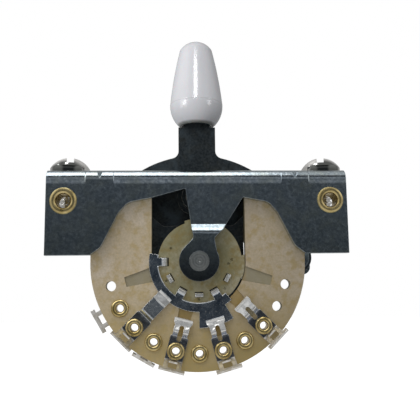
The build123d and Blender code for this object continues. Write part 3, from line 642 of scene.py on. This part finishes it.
def tarnished(name, dark, light, tinned=False, within=HEAD_WITHIN, tabs=(), seed=0):
    """Silver plate gone dark: bluish, with fine scratches and bright worn edges.

    Nearer to the pivot than within, it is bright and crumpled: a clip's head or a ring's tabs, whose
    brighter colour is a painted highlight.
    A clip also has a darker foot and a tinned end. A ring has a bright line along its inner edge,
    which stops at its tabs.
    """
    g = Graph(name)
    cloud = g.noise(*SILVER_CLOUD, seed=seed)
    scratch = g.noise(*SILVER_SCRATCH, stretch=SCRATCH_STRETCH, seed=seed + 1)
    speck = g.noise(*SILVER_SPECK, seed=seed + 2)
    crumple = g.noise(*SILVER_CRUMPLE, seed=seed + 3)
    colour = g.mix(g.levels(cloud, *SILVER_CLOUD_FADE), dark, light)
    bright = g.levels(scratch, *SILVER_SCRATCH_FADE)
    bright = g.math("ADD", bright, g.levels(speck, *SILVER_SPECK_FADE))
    colour = g.mix(g.math("MINIMUM", bright, 1.0), colour, BRIGHT)
    colour = g.mix(g.edge_wear_and_highlight(SILVER_WEAR * MM, *SILVER_WEAR_FADE), colour, BRIGHT)
    rough = g.levels(cloud, *NOISE_SPAN, *SILVER_ROUGHNESS)
    inside = g.within(within - HEAD_RIM_WIDTH, HEAD_RIM_WIDTH)
    if tinned:
        reach = g.away_from_pivot()
        base = g.levels(reach, BASE_FROM * MM, (BASE_FROM + BASE_RIM) * MM, 1, BASE_SHADE)
        colour = g.mix(1.0, colour, g.grey(base), "MULTIPLY")
        out = g.levels(reach, TINNED_FROM * MM, (TINNED_FROM + TINNED_RIM) * MM)
        colour = g.mix(out, colour, g.mix(g.levels(cloud, *TIN_FADE), TIN_PALE, TIN_DULL))
        rough = g.math("ADD", rough, g.math("MULTIPLY", out, TIN_ROUGHER))
    else:
        line = g.levels(g.away_from_pivot(), (RING_INSIDE - RING_LINE[0]) * MM, RING_INSIDE * MM)
        line = g.math("MULTIPLY", line, g.within(RING_INSIDE, RING_LINE[1]))
        for tab in tabs:
            line = g.math("MULTIPLY", line, g.off_line(tab, *TAB_SIDES))
        inside = g.math("MAXIMUM", inside, line)
    # Clip heads and ring tabs: the brighter SILVER is a painted highlight; on the ring's inner line it
    # is wear
    colour = g.mix(inside, colour, SILVER)
    height = g.math("MULTIPLY", cloud, SILVER_RELIEF * MM)
    height = g.math("ADD", height, g.math("MULTIPLY", scratch, SILVER_RELIEF * MM))
    dents = g.math("MULTIPLY", g.math("MULTIPLY", crumple, inside), CRUMPLE * MM)
    height = g.math("ADD", height, dents)
    metal = g.levels(inside, 0, 1, 1, HEAD_METAL)
    normal = g.bump(height, depth=1.0, strength=0.8, normal=g.round_edges(SILVER_EDGE * MM))
    return g.finish(colour, rough, normal, metal)


def black_oxide(name):
    """Mottled black, worn to bare metal along its edges; the light edges are also painted highlights.
    """
    g = Graph(name)
    grain = g.noise(*OXIDE_GRAIN)
    cloud = g.noise(*OXIDE_CLOUD)
    mottle = g.noise(*OXIDE_MOTTLE, seed=4)
    colour = g.mix(g.levels(grain, *OXIDE_GRAIN_FADE), OXIDE_BLACK, OXIDE_GREY)
    colour = g.mix(g.levels(cloud, *OXIDE_WARM_FADE), colour, OXIDE_WARM)
    colour = g.mix(g.levels(mottle, *OXIDE_BLUE_FADE), colour, OXIDE_BLUE)
    # Light bare edges: wear, and a painted highlight along them
    edge = g.edge_wear_and_highlight(OXIDE_EDGE * MM, *OXIDE_WEAR_AND_HIGHLIGHT_FADE)
    colour = g.mix(g.math("MULTIPLY", edge, OXIDE_WEAR_AND_HIGHLIGHT_SHARE), colour, OXIDE_BARE_AND_HIGHLIGHT)
    rough = g.levels(cloud, *NOISE_SPAN, *OXIDE_ROUGHNESS)
    metal = g.levels(edge, 0, 1, *OXIDE_METAL)
    normal = g.bump(grain, OXIDE_RELIEF * MM, strength=0.7, normal=g.round_edges(OXIDE_EDGE * MM))
    return g.finish(colour, rough, normal, metal)


def white_plastic(name):
    """Glossy moulded plastic, with a fine seam line darkened by painted shade and a mouth darkened by
    painted shade.
    """
    g = Graph(name)
    drift = g.noise(*PLASTIC_DRIFT)
    fine = g.noise(*PLASTIC_FINE)
    colour = g.mix(g.levels(drift, *PLASTIC_FADE), *PLASTIC_SHADES)
    seam = g.math("ABSOLUTE", g.math("SUBTRACT", g.axis("Z"), SEAM_Z * MM))
    seam = g.levels(seam, SEAM_SPAN[0] * MM, SEAM_SPAN[1] * MM, 1, 0)
    # Painted shade along the seam's shallow groove
    colour = g.mix(g.math("MULTIPLY", seam, SEAM_SHARE), colour, SEAM_SHADE_COLOUR)
    # Painted shade: the mouth, at the tip's bottom, dark
    mouth = g.levels(g.axis("Z"), MOUTH_Z * MM, (MOUTH_Z + MOUTH_RIM) * MM, 1, 0)
    colour = g.mix(g.math("MULTIPLY", mouth, MOUTH_SHARE), colour, MOUTH_SHADE_COLOUR)
    rough = g.levels(drift, *NOISE_SPAN, *PLASTIC_ROUGHNESS)
    height = g.math("MULTIPLY", fine, PLASTIC_RELIEF * MM)
    height = g.math("SUBTRACT", height, g.math("MULTIPLY", seam, SEAM_RELIEF * MM))
    normal = g.bump(height, depth=1.0, strength=0.7, normal=g.round_edges(PLASTIC_EDGE * MM))
    return g.finish(colour, rough, normal, Subsurface_Weight=0.05, Subsurface_Scale=0.001, IOR=1.5)


def nickel(name, seed=0):
    g = Graph(name)
    grain = g.noise(*NICKEL_GRAIN, seed=seed)
    scratch = g.noise(*NICKEL_SCRATCH, stretch=NICKEL_STRETCH, seed=seed + 1)
    colour = g.mix(g.levels(grain, *NICKEL_FADE), NICKEL_LIGHT, NICKEL_DARK)
    rough = g.levels(scratch, *NICKEL_SCRATCH_SPAN, *NICKEL_ROUGHNESS)
    normal = g.bump(grain, NICKEL_RELIEF * MM, strength=0.5, normal=g.round_edges(NICKEL_EDGE * MM))
    return g.finish(colour, rough, normal, 1.0)


def screw_nickel(name):
    """Dull on the head's dome, glossy on its rim and on the thread; painted lighter on the dome than
    on the rim and thread, and painted dark on the head's front.
    """
    g = Graph(name)
    grain = g.noise(*SCREW_GRAIN)
    stain = g.noise(*SCREW_STAIN)
    colour = g.mix(g.levels(stain, *SCREW_STAIN_FADE), SCREW_LIGHT, SCREW_DARK)
    dome = g.levels(g.axis("Z"), DOME_DULL[0] * MM, DOME_DULL[1] * MM)
    facing = g.parts(g.add("ShaderNodeNewGeometry").outputs["Normal"])
    front = g.levels(facing["Y"], *HEAD_FRONT_PAINTED_SHADE)
    front = g.math("MULTIPLY", front, g.levels(g.axis("Z"), 0.0, HEAD_FOOT * MM))
    # Painted light and shade: the dome lighter than the rim and thread, the head's front dark
    colour = g.mix(dome, SCREW_RIM_PAINTED_SHADE, colour)
    colour = g.mix(front, colour, SCREW_FRONT_PAINTED_SHADE)
    rough = g.levels(dome, 0, 1, *DOME_ROUGHNESS)
    rough = g.math("ADD", rough, g.levels(grain, *NOISE_SPAN, *SCREW_UNEVEN))
    rough = g.math("MULTIPLY", rough, g.levels(front, 0, 1, *FRONT_SMOOTHING))
    normal = g.bump(grain, SCREW_RELIEF * MM, strength=0.6, normal=g.round_edges(SCREW_EDGE * MM))
    return g.finish(colour, rough, normal, 1.0)


def make_materials():
    return {
        "plated_steel": plated_steel(
            "zinc_plate", dark=(0.24, 0.29, 0.33), light=(0.56, 0.62, 0.66), warm=(0.38, 0.41, 0.34),
            bend=True,
        ),
        "stud_steel": plated_steel(
            "stud_steel", dark=(0.30, 0.32, 0.32), light=(0.42, 0.44, 0.43), warm=(0.32, 0.32, 0.29),
            roughness=STUD_ROUGHNESS, edge=STUD_EDGE, seed=9, turned=True,
        ),
        "brass": brass("eyelet_brass"),
        "wafer": board(
            "wafer_board", base=(0.76, 0.63, 0.45), pale=(0.84, 0.72, 0.57), ochre=(0.62, 0.46, 0.20),
            olive_specks_and_edge_shade=(0.44, 0.38, 0.22), pockets=True, low=(0.56, 0.42, 0.16),
        ),
        "rotor": board(
            "rotor_board", base=(0.34, 0.31, 0.165), pale=(0.50, 0.46, 0.31), ochre=(0.33, 0.24, 0.07),
            olive_specks_and_edge_shade=(0.19, 0.175, 0.075), seed=7,
        ),
        "lug": tarnished(
            "clip_plate", dark=(0.46, 0.50, 0.58), light=(0.62, 0.65, 0.70), tinned=True, seed=3,
        ),
        "common_lug": tarnished(
            "common_clip_plate", dark=(0.50, 0.54, 0.58), light=(0.72, 0.75, 0.77), tinned=True,
            within=COMMON_HEAD_WITHIN, seed=3,
        ),
        "ring": tarnished(
            "ring_plate", RING_DARK, RING_LIGHT, within=TABS_WITHIN, tabs=FRONT_TABS, seed=11,
        ),
        "rear_ring": tarnished(
            "rear_ring_plate", RING_DARK, RING_LIGHT, within=TABS_WITHIN, tabs=REAR_TABS, seed=12,
        ),
        "black_steel": black_oxide("black_oxide"),
        # The index roller is nickel; this black oxide is painted shade for the dark window it sits in
        "roller_in_painted_shade": black_oxide("roller_in_painted_shade"),
        "tip": white_plastic("white_plastic"),
        "nickel": nickel("nickel_plate"),
        "screw_nickel": screw_nickel("screw_nickel"),
        "spring_steel": nickel("drawn_wire", seed=5),
    }


# Nodes whose look isn't simply that of their material slot
SPECIAL = {
    # The index roller's black oxide is painted shade
    "pivot_stud": "stud_steel", "index_roller": "roller_in_painted_shade",
    "front_common_lug": "common_lug", "rear_common_lug": "common_lug",
    "rear_contact_ring": "rear_ring",
}


def dress(materials):
    """Gives each node the look of its material slot, or its own."""
    slots = {part["node"]: part["material_slot"] for part in frame["record"]["subparts"]}
    for name, node in nodes.items():
        node.data.materials.clear()
        node.data.materials.append(materials[SPECIAL.get(name, slots[name])])


# Mounting screws with their real thread, in millimetres; each is turned by its own degrees
SCREW_X = 20.6375
SCREW_TURNS = {"left": 10.8, "right": -14.7}
THREAD_RADIUS = 1.7526
THREAD_ROOT = 1.33
THREAD_PITCH = 25.4 / 32
THREAD_END = -11.1
THREAD_TOP = 0.3
THREAD_POINT = 0.7
POINT_RADIUS = 1.23
CREST_FLATTENING = 1.15
THREAD_SIDES = 48
THREAD_ROWS = 12
HEAD_RADIUS = 3.15
HEAD_RIM = 0.95
HEAD_HEIGHT = 2.75
HEAD_CHAMFER = 0.12
HEAD_SIDES = 96
HEAD_ROWS = 14
SLOT_WIDTH = 1.15
SLOT_DEPTH = 1.2
CUTTER_PROUD = 1
SMOOTH_ANGLE = math.radians(38)


def head_profile():
    """Radius and height down the head: the dome's arc, the rim and the flat underside."""
    sagitta = HEAD_HEIGHT - HEAD_RIM
    ball = (HEAD_RADIUS ** 2 + sagitta ** 2) / (2 * sagitta)
    widest = math.asin(HEAD_RADIUS / ball)
    arc = [
        (ball * math.sin(widest * row / HEAD_ROWS),
         HEAD_HEIGHT - ball * (1 - math.cos(widest * row / HEAD_ROWS)))
        for row in range(1, HEAD_ROWS + 1)
    ]
    under = [(HEAD_RADIUS, HEAD_CHAMFER), (HEAD_RADIUS - HEAD_CHAMFER, 0.0)]
    return arc + [(HEAD_RADIUS, HEAD_RIM / 2)] + under


def ring(shape, radii, height):
    """A level ring of points, one for each radius."""
    sides = len(radii)
    return [
        shape.verts.new((
            radius * math.cos(TAU * side / sides) * MM,
            radius * math.sin(TAU * side / sides) * MM, height * MM,
        ))
        for side, radius in enumerate(radii)
    ]


def close_rings(shape, rings, top, bottom):
    """Joins rings of points into a closed skin."""
    sides = len(rings[0])
    for upper, lower in zip(rings, rings[1:]):
        for side in range(sides):
            after = (side + 1) % sides
            shape.faces.new((upper[side], lower[side], lower[after], upper[after]))
    crown = shape.verts.new((0, 0, top * MM))
    base = shape.verts.new((0, 0, bottom * MM))
    for side in range(sides):
        after = (side + 1) % sides
        shape.faces.new((crown, rings[0][side], rings[0][after]))
        shape.faces.new((base, rings[-1][after], rings[-1][side]))


def thread_radius(turn, height):
    """The thread's radius: a V groove with a flat crest, run out at the point."""
    wave = abs(2 * ((height / THREAD_PITCH - turn) % 1.0) - 1)
    wave = min(1.0, wave * CREST_FLATTENING)
    radius = THREAD_ROOT + (THREAD_RADIUS - THREAD_ROOT) * wave
    left = height - THREAD_END
    if left < THREAD_POINT:
        radius = min(radius, POINT_RADIUS + (THREAD_RADIUS - POINT_RADIUS) * left / THREAD_POINT)
    return radius


def add_head(shape):
    rings = [ring(shape, [radius] * HEAD_SIDES, height) for radius, height in head_profile()]
    close_rings(shape, rings, HEAD_HEIGHT, 0.0)


def add_thread(shape):
    rows = math.ceil((THREAD_TOP - THREAD_END) / THREAD_PITCH * THREAD_ROWS)
    rings = []
    for row in range(rows + 1):
        height = THREAD_TOP + (THREAD_END - THREAD_TOP) * row / rows
        radii = [thread_radius(side / THREAD_SIDES, height) for side in range(THREAD_SIDES)]
        rings.append(ring(shape, radii, height))
    close_rings(shape, rings, THREAD_TOP, THREAD_END)


def new_object(name, shape, material):
    bmesh.ops.recalc_face_normals(shape, faces=shape.faces)
    mesh = bpy.data.meshes.new(name)
    shape.to_mesh(mesh)
    shape.free()
    mesh.materials.append(material)
    piece = bpy.data.objects.new(name, mesh)
    bpy.context.scene.collection.objects.link(piece)
    return piece


def cut_slot(head):
    """Cuts the driver slot out of the head and keeps the result as plain mesh."""
    shape = bmesh.new()
    corners = []
    for height in (HEAD_HEIGHT - SLOT_DEPTH, HEAD_HEIGHT + CUTTER_PROUD):
        for x, y in ((-1, -1), (1, -1), (1, 1), (-1, 1)):
            corners.append(shape.verts.new((
                x * SLOT_WIDTH / 2 * MM, y * (HEAD_RADIUS + CUTTER_PROUD) * MM, height * MM
            )))
    for face in ((3, 2, 1, 0), (4, 5, 6, 7), (0, 1, 5, 4), (1, 2, 6, 5), (2, 3, 7, 6), (3, 0, 4, 7)):
        shape.faces.new([corners[corner] for corner in face])
    cutter = new_object("slot_cutter", shape, head.data.materials[0])
    cut = head.modifiers.new("slot", "BOOLEAN")
    cut.operation = "DIFFERENCE"
    cut.solver = "EXACT"
    cut.object = cutter
    graph = bpy.context.evaluated_depsgraph_get()
    mesh = bpy.data.meshes.new_from_object(head.evaluated_get(graph))
    head.modifiers.clear()
    head.data = mesh
    bpy.data.objects.remove(cutter)


def make_screw(side, material):
    """A slotted head and a threaded shank, instead of the plain CAD screw."""
    shape = bmesh.new()
    add_head(shape)
    screw = new_object(f"{side}_threaded_screw", shape, material)
    cut_slot(screw)
    shape = bmesh.new()
    shape.from_mesh(screw.data)
    add_thread(shape)
    place = SCREW_X if side == "right" else -SCREW_X
    turn = Matrix.Rotation(math.radians(SCREW_TURNS[side]), 4, "Z")
    bmesh.ops.transform(shape, matrix=Matrix.Translation((place * MM, 0, 0)) @ turn, verts=shape.verts)
    shape.to_mesh(screw.data)
    shape.free()
    screw.data.shade_smooth()
    screw.data.set_sharp_from_angle(angle=SMOOTH_ANGLE)
    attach(screw, "frame")
    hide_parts(f"{side}_mounting_screw")
    return screw


make_camera()
make_world()
light_groups = make_lights()
make_stage()
materials = make_materials()
dress(materials)
for screw_side in SCREW_TURNS:
    light_groups["screws"].objects.link(make_screw(screw_side, materials["screw_nickel"]))

scene = bpy.context.scene
scene.view_settings.view_transform = "Standard"
scene.view_settings.look = "None"
